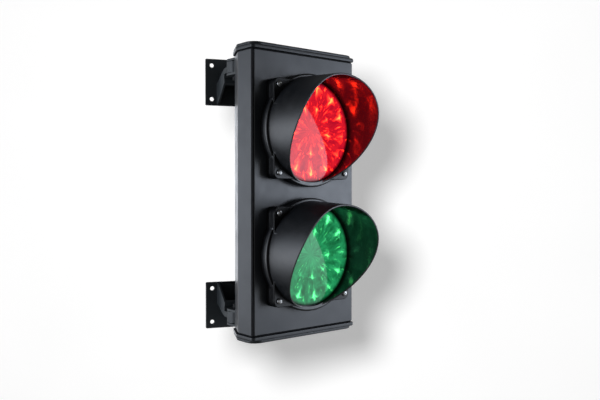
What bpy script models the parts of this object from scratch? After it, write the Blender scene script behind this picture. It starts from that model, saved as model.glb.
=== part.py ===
"""Two-lamp traffic signal head on a pair of swivelling wall brackets.

The head faces -Y and stands along +Z. Lengths below are in millimetres, measured from the centre of
the front cover, and every mesh is written in metres from the back of the upper wall plate.
"""

import math

import bmesh
import bpy
from mathutils import Matrix, Vector

MM = 0.001

# Housing profile, half width at the front and at the back
HALF_WIDTH = 82.8
BACK_HALF = 64.3
SIDE_DEPTH = 31.0
DEPTH = 65.0
WALL = 2.4
BODY_HALF = 173.3
CORNER = 6.0

# End caps and their gaskets
CAP_LIP = 2.0
CAP_LOW = 174.9
CAP_HIGH = 183.2
GASKET = (173.6, 174.6)

# Front cover and its hinge
COVER_LEFT = -80.1
COVER_HALF = 173.0
COVER_WALL = 2.4
HINGE = (79.6, 6.0)
LEFT_EDGE_Y = 2.7
RIGHT_EDGE_Y = 9.6

# Lamps
LAMPS = (("red", 78.25), ("green", -78.25))
LUG = 53.65
LUG_HALF = 61.65
BEZEL_RADIUS = 71.0
LENS_RADIUS = 62.0
OPENING_RADIUS = 60.0
TUBE_WALL = 2.2

# Wall brackets
PAN = (-49.5, 82.2)
SWIVEL = math.radians(20.0)
ARM = 45.6
PLATE = 63.5
PLATE_WALL = 3.0
PLATE_HOLE = 5.8
PLATE_INSET = 8.75
PLATE_MIDDLE = {"upper": 150.6, "lower": 155.0}
ARM_HALF = (12.6, 16.2)
BOSS_RADIUS = 13.0
COLUMN = (153.0, 174.5)
EAR = 3.0

# The frame's origin is the middle of the upper wall plate's back face
SHIFT = Vector(
    (
        -PAN[0] - math.sin(SWIVEL) * (ARM + PLATE_WALL),
        -PAN[1] - math.cos(SWIVEL) * (ARM + PLATE_WALL),
        -PLATE_MIDDLE["upper"],
    )
)


def clear_scene():
    for old in list(bpy.data.objects):
        bpy.data.objects.remove(old, do_unlink=True)


clear_scene()
scene = bpy.context.scene
signal = bpy.data.collections.new("traffic_signal_head")
cutters = bpy.data.collections.new("cutters")
scene.collection.children.link(signal)
scene.collection.children.link(cutters)


def material(name, colour, metallic, roughness):
    made = bpy.data.materials.new(name)
    made.use_nodes = True
    shader = made.node_tree.nodes["Principled BSDF"]
    shader.inputs["Base Color"].default_value = (*colour, 1.0)
    shader.inputs["Metallic"].default_value = metallic
    shader.inputs["Roughness"].default_value = roughness
    return made


LOOKS = {
    "anthracite": ((0.09, 0.095, 0.105), 0.3, 0.45),
    "black_plastic": ((0.012, 0.012, 0.014), 0.0, 0.5),
    "dark_cap": ((0.03, 0.032, 0.036), 0.0, 0.45),
    "visor": ((0.035, 0.037, 0.04), 0.0, 0.42),
    "rubber": ((0.01, 0.01, 0.01), 0.0, 0.8),
    "bracket": ((0.02, 0.022, 0.025), 0.2, 0.5),
    "steel": ((0.6, 0.6, 0.6), 1.0, 0.3),
    "red_lens": ((0.8, 0.02, 0.02), 0.0, 0.1),
    "green_lens": ((0.0, 0.4, 0.15), 0.0, 0.1),
    "white_plastic": ((0.6, 0.6, 0.6), 0.0, 0.5),
    "board": ((0.02, 0.2, 0.08), 0.0, 0.5),
}


def finish(obj, look, cutter=False):
    """Names the look and files the object with the parts or with the cutters."""
    if cutter:
        cutters.objects.link(obj)
        obj.hide_render = True
        obj.display_type = "WIRE"
        return obj
    signal.objects.link(obj)
    colour, metallic, roughness = LOOKS[look]
    obj.data.materials.append(material(obj.name, colour, metallic, roughness))
    return obj


def mesh_object(name, points, faces, look=None, place=None):
    """A mesh from points in millimetres, placed by a matrix and shifted to the object's frame."""
    place = place or Matrix()
    mesh = bpy.data.meshes.new(name)
    moved = [(place @ Vector(point) + SHIFT) * MM for point in points]
    mesh.from_pydata(moved, [], faces)
    bm = bmesh.new()
    bm.from_mesh(mesh)
    bmesh.ops.remove_doubles(bm, verts=bm.verts, dist=1e-7)
    bmesh.ops.recalc_face_normals(bm, faces=bm.faces)
    bm.to_mesh(mesh)
    bm.free()
    return finish(bpy.data.objects.new(name, mesh), look, cutter=look is None)


AXES = {
    "X": lambda a, b, t: (t, a, b),
    "Y": lambda a, b, t: (a, t, b),
    "Z": lambda a, b, t: (a, b, t),
}


def stack(name, sections, look=None, axis="Z", place=None):
    """A solid through outlines of equal count: sections is [(outline, height), ...]."""
    count = len(sections[0][0])
    points = [AXES[axis](a, b, height) for outline, height in sections for a, b in outline]
    faces = [tuple(range(count)), tuple(range(len(points) - count, len(points)))]
    for level in range(len(sections) - 1):
        base = level * count
        for i in range(count):
            j = (i + 1) % count
            faces.append((base + i, base + j, base + count + j, base + count + i))
    return mesh_object(name, points, faces, look, place)


def prism(name, outline, low, high, look=None, axis="Z", place=None):
    return stack(name, [(outline, low), (outline, high)], look, axis, place)


def box(name, low, high, look=None, place=None):
    outline = [(low[0], low[1]), (high[0], low[1]), (high[0], high[1]), (low[0], high[1])]
    return prism(name, outline, low[2], high[2], look, "Z", place)


def circle(radius, centre=(0.0, 0.0), count=32, phase=0.0):
    turns = [phase + 2 * math.pi * i / count for i in range(count)]
    return [(centre[0] + radius * math.cos(t), centre[1] + radius * math.sin(t)) for t in turns]


def rod(name, radius, centre, low, high, look=None, axis="Z", count=24, place=None):
    return prism(name, circle(radius, centre, count, 0.11), low, high, look, axis, place)


def turned(name, profile, centre, look=None, axis="Y", count=48, place=None):
    """A solid of revolution: profile is [(radius, height), ...], closed on itself.

    A radius may also be a list that holds one radius for each turn.
    """
    points = []
    rings = []
    for radius, height in profile:
        rings.append(len(points))
        radii = radius if isinstance(radius, list) else [radius] * count
        for i in range(count if radii[0] > 0 else 1):
            t = 2 * math.pi * i / count
            a = centre[0] + radii[i] * math.cos(t)
            b = centre[1] + radii[i] * math.sin(t)
            points.append(AXES[axis](a, b, height))
    faces = []
    on_axis = [radius == 0 for radius, _ in profile]
    for k in range(len(profile)):
        n = (k + 1) % len(profile)
        if on_axis[k] and on_axis[n]:
            continue
        for i in range(count):
            j = (i + 1) % count
            here = [rings[k]] if on_axis[k] else [rings[k] + i, rings[k] + j]
            there = [rings[n]] if on_axis[n] else [rings[n] + j, rings[n] + i]
            faces.append(tuple(here + there))
    return mesh_object(name, points, faces, look, place)


def rounded(corners, steps=3):
    """An outline whose corners (a, b, radius) are rounded."""
    outline = []
    count = len(corners)
    for i, (a, b, radius) in enumerate(corners):
        point = Vector((a, b))
        if radius <= 0:
            outline.append((a, b))
            continue
        before = (Vector(corners[i - 1][:2]) - point).normalized()
        after = (Vector(corners[(i + 1) % count][:2]) - point).normalized()
        half = before.angle(after) / 2
        reach = radius / math.tan(half)
        centre = point + (before + after).normalized() * radius / math.sin(half)
        start = point + before * reach - centre
        turn = math.pi - 2 * half
        if before.x * after.y - before.y * after.x > 0:
            turn = -turn
        for k in range(steps + 1):
            angle = turn * k / steps
            ray = Matrix.Rotation(angle, 2) @ start
            outline.append((centre.x + ray.x, centre.y + ray.y))
    return outline


def inset(outline, distance):
    """The outline, which runs counterclockwise, moved inwards."""
    moved = []
    count = len(outline)
    for i in range(count):
        here = Vector(outline[i])
        before = (here - Vector(outline[i - 1])).normalized()
        after = (Vector(outline[(i + 1) % count]) - here).normalized()
        first = Vector((-before.y, before.x))
        second = Vector((-after.y, after.x))
        normal = (first + second).normalized()
        here = here + normal * distance / max(0.3, normal.dot(first))
        moved.append((here.x, here.y))
    return moved


def boolean(obj, other, operation):
    modifier = obj.modifiers.new(other.name, "BOOLEAN")
    modifier.operation = operation
    modifier.solver = "EXACT"
    modifier.object = other
    return obj


def cut(obj, *others):
    for other in others:
        boolean(obj, other, "DIFFERENCE")
    return obj


def join(obj, *others):
    for other in others:
        boolean(obj, other, "UNION")
    return obj


def smooth(*objects):
    for obj in objects:
        for polygon in obj.data.polygons:
            polygon.use_smooth = len(polygon.vertices) < 8


def cap_corners(lip):
    """The closed outline of the housing's section, grown by lip, counterclockwise from above."""
    front = -lip
    bend = max(1.5, CORNER + lip)
    nose = max(2.0, 3.0 + lip)
    return rounded(
        [
            (HALF_WIDTH + lip, front, nose),
            (HALF_WIDTH + lip, SIDE_DEPTH + lip * 0.3, bend),
            (BACK_HALF + lip * 0.8, DEPTH + lip, bend),
            (-BACK_HALF - lip * 0.8, DEPTH + lip, bend),
            (-HALF_WIDTH - lip, SIDE_DEPTH + lip * 0.3, bend),
            (-HALF_WIDTH - lip, front, nose),
        ]
    )


CHANNELS = [(77.2, 27.0), (-77.2, 27.0), (58.0, 59.6), (-58.0, 59.6)]


def housing_outline():
    outer = [
        (HALF_WIDTH, RIGHT_EDGE_Y, 0),
        (HALF_WIDTH, SIDE_DEPTH, CORNER),
        (BACK_HALF, DEPTH, CORNER),
        (-BACK_HALF, DEPTH, CORNER),
        (-HALF_WIDTH, SIDE_DEPTH, CORNER),
        (-HALF_WIDTH, LEFT_EDGE_Y + 2.0, 0),
        (-HALF_WIDTH + 0.5, LEFT_EDGE_Y + 0.7, 0),
        (-HALF_WIDTH + 1.5, LEFT_EDGE_Y, 0),
    ]
    slope = math.atan2(DEPTH - SIDE_DEPTH, HALF_WIDTH - BACK_HALF)
    shift = WALL * math.tan((math.pi / 2 - slope) / 2)
    back = WALL * math.tan(slope / 2)
    inner = [
        (-HALF_WIDTH + WALL, LEFT_EDGE_Y, 0),
        (-HALF_WIDTH + WALL, 9.8, 0),
        (-76.0, 9.8, 0),
        (-76.0, 11.8, 0),
        (-HALF_WIDTH + WALL, 11.8, 0),
        (-HALF_WIDTH + WALL, SIDE_DEPTH - shift, CORNER - WALL),
        (-BACK_HALF + back, DEPTH - WALL, CORNER - WALL),
        (BACK_HALF - back, DEPTH - WALL, CORNER - WALL),
        (HALF_WIDTH - WALL, SIDE_DEPTH - shift, CORNER - WALL),
        (HALF_WIDTH - WALL, RIGHT_EDGE_Y, 0),
    ]
    return rounded(outer + inner)


GLAND = (22.0, -112.0)
LUG_SCREWS = (-31.0, -20.0)
LUG_SCREW_Z = 163.75


def build_housing():
    body = prism("housing_body", housing_outline(), -BODY_HALF, BODY_HALF, "anthracite")
    for i, centre in enumerate(CHANNELS):
        join(body, rod(f"channel_{i}", 3.9, centre, -BODY_HALF, BODY_HALF, count=16))
        cut(body, rod(f"channel_bore_{i}", 1.7, centre, -BODY_HALF - 5, -BODY_HALF + 13, count=8))
        cut(body, rod(f"channel_bore_top_{i}", 1.7, centre, BODY_HALF - 13, BODY_HALF + 5, count=8))
    cut(body, rod("gland_hole", 8.3, GLAND, DEPTH - 10, DEPTH + 5, axis="Y"))
    for sign in (1, -1):
        for i, x in enumerate(LUG_SCREWS):
            hole = (x, sign * LUG_SCREW_Z)
            cut(body, rod(f"lug_hole_{sign}_{i}", 2.3, hole, DEPTH - 10, DEPTH + 5, axis="Y", count=8))
    return [body]


def build_cap(side, sign):
    """One end cap, its gasket and its four screws; sign is +1 for the top and -1 for the bottom."""
    outline = cap_corners(CAP_LIP)
    levels = [(0.6, CAP_LOW), (0.0, CAP_LOW + 0.8), (0.0, CAP_HIGH - 3.0)]
    levels += [(1.0, CAP_HIGH - 1.0), (3.0, CAP_HIGH)]
    sections = [(inset(outline, step), sign * height) for step, height in levels]
    cap = stack(f"cap_{side}", sections, "dark_cap")
    low, high = sorted((sign * GASKET[0], sign * GASKET[1]))
    gasket = prism(f"gasket_{side}", cap_corners(-0.8), low, high, "rubber")
    cut(gasket, prism(f"gasket_hollow_{side}", cap_corners(-9.5), low - 3, high + 3))
    pieces = [cap, gasket]
    head_low = CAP_HIGH - 3.0
    for i, centre in enumerate(CHANNELS):
        low, high = sorted((sign * (CAP_LOW - 5), sign * (CAP_HIGH + 5)))
        cut(cap, rod(f"cap_bore_{side}_{i}", 1.9, centre, low, high, count=8))
        low, high = sorted((sign * head_low, sign * (CAP_HIGH + 5)))
        cut(cap, rod(f"cap_recess_{side}_{i}", 3.7, centre, low, high, count=16))
        low, high = sorted((sign * (GASKET[0] - 3), sign * (GASKET[1] + 3)))
        cut(gasket, rod(f"gasket_bore_{side}_{i}", 1.9, centre, low, high, count=8))
        profile = [
            (0.0, sign * (CAP_LOW - 12.0)),
            (1.4, sign * (CAP_LOW - 12.0)),
            (1.4, sign * (head_low + 0.3)),
            (3.2, sign * (head_low + 0.3)),
            (3.2, sign * (head_low + 1.6)),
            (2.2, sign * (head_low + 2.4)),
            (0.0, sign * (head_low + 2.4)),
        ]
        screw = turned(f"cap_screw_{side}_{i + 1}", profile, centre, "steel", "Z", 8)
        slot = (centre[0] - 0.4, centre[1] - 2.4, sign * (head_low + 1.7))
        end = (centre[0] + 0.4, centre[1] + 2.4, sign * (head_low + 4.0))
        cut(screw, box(f"cap_slot_{side}_{i}", slot, end))
        pieces.append(screw)
    low, high = sorted((sign * (CAP_LOW - 5), sign * (CAP_LOW + 5.9)))
    cut(cap, rod(f"pin_socket_{side}", 1.8, HINGE, low, high, count=16))
    low, high = sorted((sign * (GASKET[0] - 3), sign * (GASKET[1] + 3)))
    cut(gasket, rod(f"gasket_pin_{side}", 2.3, HINGE, low, high, count=16))
    low, high = sorted((sign * (COVER_HALF - 9.0), sign * (CAP_LOW + 5.5)))
    pieces.append(rod(f"hinge_pin_{side}", 1.5, HINGE, low, high, "steel", count=16))
    return pieces


def build_cover():
    """The front cover with its hinge bosses and catch fingers, and the seal along its free edge."""
    section = rounded(
        [
            (COVER_LEFT, 0.0, 0.8),
            (HALF_WIDTH, 0.0, 2.4),
            (HALF_WIDTH, HINGE[1], 0),
            (HALF_WIDTH - 2.2, HINGE[1], 0),
            (HALF_WIDTH - 2.2, COVER_WALL, 0),
            (78.2, COVER_WALL, 0),
            (78.2, 9.0, 0),
            (76.7, 9.0, 0),
            (76.7, COVER_WALL, 0),
            (COVER_LEFT + 2.0, COVER_WALL, 0),
            (COVER_LEFT + 2.0, 9.5, 0),
            (COVER_LEFT, 9.5, 0),
        ]
    )
    cover = prism("front_cover", section, -COVER_HALF, COVER_HALF, "anthracite")
    for sign in (1, -1):
        low, high = sorted((sign * (COVER_HALF - 14), sign * COVER_HALF))
        join(cover, rod(f"hinge_boss_{sign}", 3.0, HINGE, low, high, count=16))
        join(cover, box(f"hinge_web_{sign}", (77.2, 1.6, low + 0.1), (81.6, 5.6, high - 0.1)))
        low, high = sorted((sign * (COVER_HALF - 9.6), sign * (COVER_HALF + 5)))
        cut(cover, rod(f"hinge_bore_{sign}", 1.8, HINGE, low, high, count=16))
        low, high = sorted((sign * 153.0, sign * 163.0))
        join(cover, box(f"finger_{sign}", (-75.2, 1.6, low), (-73.2, 19.0, high)))
    for colour, middle in LAMPS:
        hole = rod(f"cover_hole_{colour}", OPENING_RADIUS, (0, middle), -5, 8, axis="Y", count=48)
        cut(cover, hole)
        for x in (-LUG, LUG):
            for z in (-LUG, LUG):
                centre = (x, middle + z)
                cut(cover, rod(f"cover_bore_{colour}_{x}_{z}", 2.2, centre, -5, 8, axis="Y", count=8))
    strip = [
        (-HALF_WIDTH + 0.4, 0.9),
        (-HALF_WIDTH + 0.9, 0.4),
        (COVER_LEFT - 0.35, 0.4),
        (COVER_LEFT - 0.35, LEFT_EDGE_Y - 0.3),
        (-HALF_WIDTH + 0.4, LEFT_EDGE_Y - 0.3),
    ]
    seal = prism("cover_seal", strip, -COVER_HALF, COVER_HALF, "rubber")
    catches = []
    for side, sign in (("upper", 1), ("lower", -1)):
        low, high = sorted((sign * 151.0, sign * 165.0))
        catch = box(f"cover_catch_{side}", (-80.1, 13.6, low), (-70.6, 22.6, high), "steel")
        slot = box(f"catch_slot_{side}", (-76.6, 10.0, low - 5), (-72.8, 20.4, high + 5))
        catches.append(cut(catch, slot))
    return [cover], [seal] + catches


def lobed_reach(radius, half, corner, count):
    """A circle joined with a round-cornered square, as one radius for each turn."""
    reaches = []
    for i in range(count):
        t = 2 * math.pi * i / count
        c, s = abs(math.cos(t)), abs(math.sin(t))
        reach = half / max(c, s)
        inner = half - corner
        if reach * min(c, s) > inner:
            b = inner * (c + s)
            reach = b + math.sqrt(max(0.0, b * b - 2 * inner * inner + corner * corner))
        reaches.append(max(radius, reach))
    return reaches


def lobed(radius, half, corner, count=56):
    """The same shape as an outline."""
    reaches = lobed_reach(radius, half, corner, count)
    turns = [2 * math.pi * i / count for i in range(count)]
    return [(r * math.cos(t), r * math.sin(t)) for r, t in zip(reaches, turns)]


def raised(outline, middle):
    return [(a, b + middle) for a, b in outline]


def rim_depth(s):
    """How far the visor reaches in front of the cover; s is +1 at the top and -1 at the bottom."""
    return 61.8 + 35.4 * s - 19.2 * s * s - 3.5 * s**3


def tube_radius(depth):
    return 68.7 - 0.055 * depth


def visor_tube(name, middle, count=44):
    points = []
    for i in range(count):
        t = 2 * math.pi * i / count
        depth = rim_depth(math.sin(t))
        base = 10.0
        for radius, reach in (
            (tube_radius(base), base),
            (tube_radius(depth), depth),
            (tube_radius(depth) - TUBE_WALL, depth),
            (tube_radius(base) - TUBE_WALL, base),
        ):
            points.append((radius * math.cos(t), -reach, middle + radius * math.sin(t)))
    faces = []
    for i in range(count):
        j = (i + 1) % count
        for k in range(4):
            n = (k + 1) % 4
            faces.append((4 * i + k, 4 * j + k, 4 * j + n, 4 * i + n))
    return mesh_object(name, points, faces)


def build_lamp(colour, middle):
    centre = (0.0, middle)
    outline = raised(lobed(BEZEL_RADIUS, LUG_HALF, 8.0), middle)
    bezel = prism(f"bezel_{colour}", outline, -7.2, -0.3, "black_plastic", "Y")
    cut(bezel, rod(f"bezel_seat_{colour}", LENS_RADIUS + 0.4, centre, -12, -2.2, axis="Y", count=36))
    cut(bezel, rod(f"bezel_bore_{colour}", 58.0, centre, -5, 5, axis="Y", count=36))

    seal_profile = [(58.8, -2.5), (61.8, -2.5), (61.8, -3.9), (58.8, -3.9)]
    lens_seal = turned(f"lens_seal_{colour}", seal_profile, centre, "rubber", count=32)

    lens_profile = [
        (LENS_RADIUS, -4.2),
        (LENS_RADIUS, -7.0),
        (60.0, -7.0),
        (44.0, -9.4),
        (24.0, -10.8),
        (0.0, -11.4),
        (0.0, -9.0),
        (44.0, -6.9),
        (57.5, -4.2),
    ]
    lens = turned(f"lens_{colour}", lens_profile, centre, f"{colour}_lens", count=36)

    outline = raised(lobed(BEZEL_RADIUS + 0.5, LUG_HALF, 8.0), middle)
    slim = raised(lobed(BEZEL_RADIUS - 1.2, LUG_HALF - 1.2, 7.0), middle)
    flange = [(slim, -12.7), (outline, -11.4), (outline, -7.5)]
    visor = stack(f"visor_{colour}", flange, "visor", "Y")
    square = [(LUG_HALF, -LUG_HALF, 8), (LUG_HALF, LUG_HALF, 8), (-LUG_HALF, LUG_HALF, 8), (-LUG_HALF, -LUG_HALF, 8)]
    lugs = prism(f"visor_lugs_{colour}", raised(inset(rounded(square), 0.2), middle), -15.0, -9.0, axis="Y")
    cut(lugs, rod(f"visor_lug_trim_{colour}", 67.4, centre, -25, 5, axis="Y", count=48))
    join(visor, lugs)
    cut(visor, rod(f"visor_lip_{colour}", 60.5, centre, -25, 5, axis="Y", count=40))
    cut(visor, rod(f"visor_bore_{colour}", 65.7, centre, -25, -9.2, axis="Y", count=44))
    join(visor, visor_tube(f"visor_tube_{colour}", middle))

    flange = lobed_reach(BEZEL_RADIUS - 0.5, LUG_HALF - 0.5, 8.0, 48)
    cup = [(flange, 2.7), (flange, 4.9), (58.9, 4.9), (55.5, 31.0), (0, 31.0)]
    cup += [(0, 29.2), (53.8, 29.2), (57.0, 2.7)]
    can = turned(f"lamp_housing_{colour}", cup, centre, "white_plastic", count=48)
    wire = prism(f"can_wire_{colour}", circle(3.0, (5.1, middle - 31.7), 10, 0.13), 20, 40, axis="Y")
    cut(can, wire)

    board = rod(f"led_board_{colour}", 51.0, centre, 26.3, 27.9, "board", "Y", 36)
    spots = [(0.0, 0.0)]
    spots += circle(20.0, count=6)
    spots += circle(39.0, count=12, phase=0.3)
    for i, (x, z) in enumerate(spots):
        spot = (x, middle + z)
        join(board, rod(f"led_{colour}_{i}", 2.6, spot, 24.0, 27.0, axis="Y", count=6))

    screws = []
    places = [("tl", -1, 1), ("tr", 1, 1), ("bl", -1, -1), ("br", 1, -1)]
    for corner, along, up in places:
        spot = (along * LUG, middle + up * LUG)
        for obj in (bezel, visor, can):
            bore = rod(f"bore_{obj.name}_{corner}", 2.2, spot, -25, 12, axis="Y", count=8)
            cut(obj, bore)
        profile = [
            (0.0, 9.5),
            (1.8, 9.5),
            (1.8, -15.3),
            (3.6, -15.3),
            (3.6, -16.4),
            (2.9, -17.4),
            (0.0, -17.9),
        ]
        screw = turned(f"visor_screw_{colour}_{corner}", profile, spot, "steel", "Y", 8)
        low = (spot[0] - 2.4, -20.0, spot[1] - 0.4)
        high = (spot[0] + 2.4, -16.9, spot[1] + 0.4)
        cut(screw, box(f"screw_slot_{colour}_{corner}", low, high))
        screws.append(screw)
    return [bezel, lens_seal, lens, visor, can, board] + screws


def build_electrics():
    tray = box("board_tray", (-31, 59.0, -42), (31, 62.3, 42), "black_plastic")
    cut(tray, box("tray_window", (-20, 50, -28), (20, 70, 28)))
    board = box("control_board", (-30, 57.1, -41), (30, 58.7, 41), "board")
    join(board, box("transformer", (-24, 42, 6), (2, 57.5, 36)))
    join(board, rod("capacitor", 6.0, (16, 22), 44, 57.5, axis="Y", count=20))
    join(board, box("relay", (8, 46, -12), (26, 57.5, 6)))
    terminals = box("terminal_block", (-24, 44.0, -37), (24, 56.8, -22), "white_plastic")
    for i in range(6):
        x = -20.0 + 8.0 * i
        cut(terminals, box(f"terminal_entry_{i}", (x - 2.4, 47, -42), (x + 2.4, 52, -30)))
        cut(terminals, rod(f"terminal_hole_{i}", 2.0, (x, -27.0), 40, 48, axis="Y", count=8))
    hexagon = circle(11.0, GLAND, 6)
    gland = prism("cable_gland", hexagon, DEPTH + 0.3, DEPTH + 5.5, "black_plastic", "Y")
    join(gland, rod("gland_thread", 7.9, GLAND, DEPTH - 11, DEPTH + 1, axis="Y", count=24))
    dome = [(10.2, DEPTH + 4), (10.2, DEPTH + 13), (8.6, DEPTH + 17), (0, DEPTH + 17), (0, DEPTH + 4)]
    join(gland, turned("gland_dome", dome, GLAND, count=24))
    cut(gland, rod("gland_bore", 4.2, GLAND, DEPTH - 20, DEPTH + 25, axis="Y", count=20))
    nut = prism("gland_nut", circle(11.0, GLAND, 6, 0.5), DEPTH - 8.5, DEPTH - WALL - 0.3, "black_plastic", "Y")
    cut(nut, rod("gland_nut_bore", 8.2, GLAND, DEPTH - 15, DEPTH + 5, axis="Y", count=24))
    return [tray, board, terminals, gland, nut]


def arm_place():
    """Bracket frame: +X along the plate, +Y from the pan axis to the wall."""
    return Matrix.Translation((PAN[0], PAN[1], 0)) @ Matrix.Rotation(-SWIVEL, 4, "Z")


def strut(name, sign, edge, drop, trim=0.0, place=None):
    """A solid between two side outlines of (distance from the pan axis, height), wider at the wall."""
    points = []
    for distance, height in edge:
        share = min(1.0, max(0.0, distance / ARM))
        half = ARM_HALF[0] + (ARM_HALF[1] - ARM_HALF[0]) * share - trim
        for x in (-half, half):
            points.append((x, distance, sign * (height + drop * share)))
    count = len(edge)
    faces = [tuple(2 * i for i in range(count)), tuple(2 * i + 1 for i in range(count))]
    for i in range(count):
        j = (i + 1) % count
        faces.append((2 * i, 2 * j, 2 * j + 1, 2 * i + 1))
    return mesh_object(name, points, faces, None, place)


def build_bracket(side, sign):
    """One wall bracket (plate, hollow arm and pivot eye in one casting)."""
    place = arm_place()
    middle = PLATE_MIDDLE[side]
    half = PLATE / 2
    low, high = sorted((sign * (middle - half), sign * (middle + half)))
    face = rounded([(half, low, 1.5), (half, high, 1.5), (-half, high, 1.5), (-half, low, 1.5)])
    bracket = prism(f"wall_bracket_{side}", face, ARM, ARM + PLATE_WALL, "bracket", "Y", place)
    for x in (-1, 1):
        for z in (-1, 1):
            spot = (x * (half - PLATE_INSET), sign * middle + z * (half - PLATE_INSET))
            hole = rod(f"plate_hole_{side}_{x}_{z}", PLATE_HOLE / 2, spot, ARM - 5, ARM + 9,
                       axis="Y", count=14, place=place)
            cut(bracket, hole)
    eye_low, eye_high = sorted((sign * (COLUMN[0] + EAR + 0.3), sign * (COLUMN[1] - EAR - 0.3)))
    join(bracket, rod(f"arm_eye_{side}", BOSS_RADIUS, (0, 0), eye_low, eye_high, count=24, place=place))
    drop = middle - PLATE_MIDDLE["upper"]
    edge = [(ARM + 1.0, 122.6), (ARM - 5.0, 126.0), (14.2, 153.0), (13.8, 157.0), (3.0, 157.5)]
    edge += [(3.0, 165.0), (14.0, 164.4), (22.0, 161.2), (30.0, 157.0), (38.0, 152.6), (ARM + 1.0, 148.6)]
    join(bracket, strut(f"arm_{side}", sign, edge, drop, 0.0, place))
    edge = [(ARM - 0.6, 116.0), (14.6, 120.0), (14.6, 161.0), (21.0, 158.4), (29.0, 154.2), (37.0, 149.8)]
    edge += [(ARM - 0.6, 145.6)]
    cut(bracket, strut(f"arm_pocket_{side}", sign, edge, drop, 2.7, place))
    cut(bracket, rod(f"arm_bore_{side}", 3.3, (0, 0), eye_low - 5, eye_high + 5, count=20, place=place))
    return [bracket]


def build_lug(side, sign):
    """The forked lug screwed to the back of the housing, its pivot bolt, nut, washers and screws."""
    low, high = sorted((sign * COLUMN[0], sign * COLUMN[1]))
    left = PAN[0] - BOSS_RADIUS
    lug = box(f"head_lug_{side}", (left, DEPTH + 0.3, low), (-14.0, DEPTH + 3.3, high), "bracket")
    for end in (0, 1):
        ear_low = low if end == 0 else high - EAR
        ear = [(left, DEPTH + 1.0), (PAN[0] + BOSS_RADIUS, DEPTH + 1.0)]
        ear += [
            (PAN[0] + BOSS_RADIUS * math.cos(t), PAN[1] + BOSS_RADIUS * math.sin(t))
            for t in [math.pi * i / 12 for i in range(13)]
        ]
        join(lug, prism(f"ear_{side}_{end}", ear, ear_low + (0.01 if end else 0), ear_low + EAR - (0 if end else 0.01)))
    cut(lug, rod(f"lug_bore_{side}", 3.3, PAN, low - 5, high + 5, count=20))
    pieces = [lug]
    for i, x in enumerate(LUG_SCREWS):
        spot = (x, sign * LUG_SCREW_Z)
        cut(lug, rod(f"lug_screw_bore_{side}_{i}", 2.3, spot, DEPTH - 5, DEPTH + 9, axis="Y", count=8))
        profile = [
            (0.0, DEPTH + 6.1),
            (3.0, DEPTH + 5.6),
            (3.7, DEPTH + 4.6),
            (3.7, DEPTH + 3.6),
            (1.9, DEPTH + 3.6),
            (1.9, DEPTH - 6.0),
            (0.0, DEPTH - 6.0),
        ]
        screw = turned(f"lug_screw_{side}_{i + 1}", profile, spot, "steel", "Y", 8)
        low_slot = (x - 2.4, DEPTH + 5.2, spot[1] - 0.4)
        cut(screw, box(f"lug_slot_{side}_{i}", low_slot, (x + 2.4, DEPTH + 9.0, spot[1] + 0.4)))
        pieces.append(screw)
    profile = [
        (0.0, sign * (COLUMN[1] + 2.6)),
        (4.0, sign * (COLUMN[1] + 2.4)),
        (6.2, sign * (COLUMN[1] + 1.2)),
        (6.2, sign * (COLUMN[1] + 0.3)),
        (3.0, sign * (COLUMN[1] + 0.3)),
        (3.0, sign * (COLUMN[0] - 6.6)),
        (0.0, sign * (COLUMN[0] - 6.6)),
    ]
    bolt = turned(f"pivot_bolt_{side}", profile, PAN, "steel", "Z", 16)
    slot_low, slot_high = sorted((sign * (COLUMN[1] + 1.5), sign * (COLUMN[1] + 5)))
    cut(bolt, prism(f"bolt_key_{side}", circle(2.2, PAN, 6), slot_low, slot_high))
    nut_low, nut_high = sorted((sign * (COLUMN[0] - 5.8), sign * (COLUMN[0] - 0.3)))
    nut = prism(f"pivot_nut_{side}", circle(5.6, PAN, 6, 0.2), nut_low, nut_high, "steel")
    cut(nut, rod(f"nut_bore_{side}", 3.25, PAN, nut_low - 5, nut_high + 5, count=20))
    return pieces + [bolt, nut]


def axis_empty(name, centre, parent=None):
    empty = bpy.data.objects.new(name, None)
    empty.location = (Vector((centre[0], centre[1], 0)) + SHIFT) * MM
    signal.objects.link(empty)
    if parent:
        hang(empty, parent)
    return empty


def hang(obj, parent):
    """Parents the object and leaves it where it is."""
    bpy.context.view_layer.update()
    place = obj.matrix_world.copy()
    obj.parent = parent
    obj.matrix_parent_inverse = parent.matrix_world.inverted()
    obj.matrix_world = place


fixed = build_bracket("upper", 1) + build_bracket("lower", -1)
head = build_housing() + build_cap("top", 1) + build_cap("bottom", -1)
head += build_lug("upper", 1) + build_lug("lower", -1) + build_electrics()
cover, seals = build_cover()
head += seals
for lamp_colour, lamp_middle in LAMPS:
    cover += build_lamp(lamp_colour, lamp_middle)

pan_axis = axis_empty("head_pan_axis", PAN)
hinge_axis = axis_empty("cover_hinge_axis", HINGE, pan_axis)
for piece in head:
    hang(piece, pan_axis)
for piece in cover:
    hang(piece, hinge_axis)
for piece in fixed + head + cover:
    smooth(piece)
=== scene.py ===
"""Looks of the two-lamp traffic signal head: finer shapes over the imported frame, materials, light and camera."""

import math

import bmesh
import bpy
from mathutils import Matrix, Vector


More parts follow.
